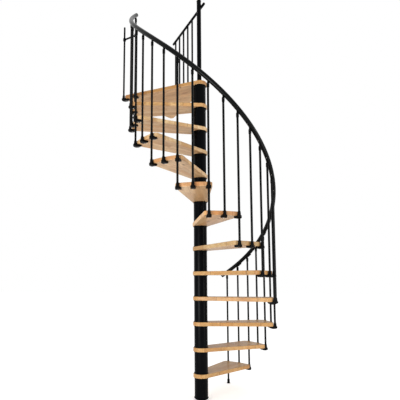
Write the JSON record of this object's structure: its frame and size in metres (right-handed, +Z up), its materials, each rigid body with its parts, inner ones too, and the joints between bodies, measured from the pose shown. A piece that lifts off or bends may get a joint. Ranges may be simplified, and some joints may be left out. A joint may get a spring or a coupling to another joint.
{
  "type": "spiral staircase",
  "caption": "Open spiral staircase: wooden wedge treads clamped on a black steel column, with balusters, a coiled handrail and a railed landing.",
  "frame": {"origin": "on the column's axis, on the underside of the base plate where it stands on the floor", "axes": "+Z up along the column, +X to the right and +Y away from someone who faces the stair as pictured; the stair climbs clockwise seen from above"},
  "size_m": [1.4701, 1.3919, 3.7896],
  "materials": {
    "wood": "satin varnish",
    "column_paint": "satin",
    "baluster_paint": "satin",
    "handrail_plastic": "semi-gloss",
    "fitting_plastic": "matte",
    "zinc_steel": "zinc plated"
  },
  "bodies": {
    "root": {"base_plate": "column_paint", "column_tube_01": "column_paint", "column_tube_02": "column_paint", "column_tube_03": "column_paint", "column_tube_04": "column_paint", "column_tube_05": "column_paint", "column_tube_06": "column_paint", "column_tube_07": "column_paint", "column_tube_08": "column_paint", "column_tube_09": "column_paint", "column_tube_10": "column_paint", "column_tube_11": "column_paint", "column_tube_12": "column_paint", "column_tube_13": "column_paint", "corner_baluster": "baluster_paint", "corner_link": "column_paint", "floor_foot": "fitting_plastic", "handrail": "handrail_plastic", "handrail_end_caps": "fitting_plastic", "landing_board": "wood", "landing_brackets": "fitting_plastic", "landing_rail": "column_paint", "landing_rail_balusters": "baluster_paint", "landing_rail_clamp": "column_paint", "landing_rail_feet": "fitting_plastic", "long_baluster_clips": "fitting_plastic", "long_balusters": "baluster_paint", "middle_baluster_clips": "fitting_plastic", "middle_balusters": "baluster_paint", "middle_brackets": "fitting_plastic", "nosing_brackets": "fitting_plastic", "rear_brackets": "fitting_plastic", "tie_rod": "zinc_steel", "tie_rod_nut": "zinc_steel", "tread_01": "wood", "tread_02": "wood", "tread_03": "wood", "tread_04": "wood", "tread_05": "wood", "tread_06": "wood", "tread_07": "wood", "tread_08": "wood", "tread_09": "wood", "tread_10": "wood", "tread_11": "wood", "tread_12": "wood", "upper_pole": "column_paint", "upper_pole_cap": "fitting_plastic"}
  },
  "joints": []
}
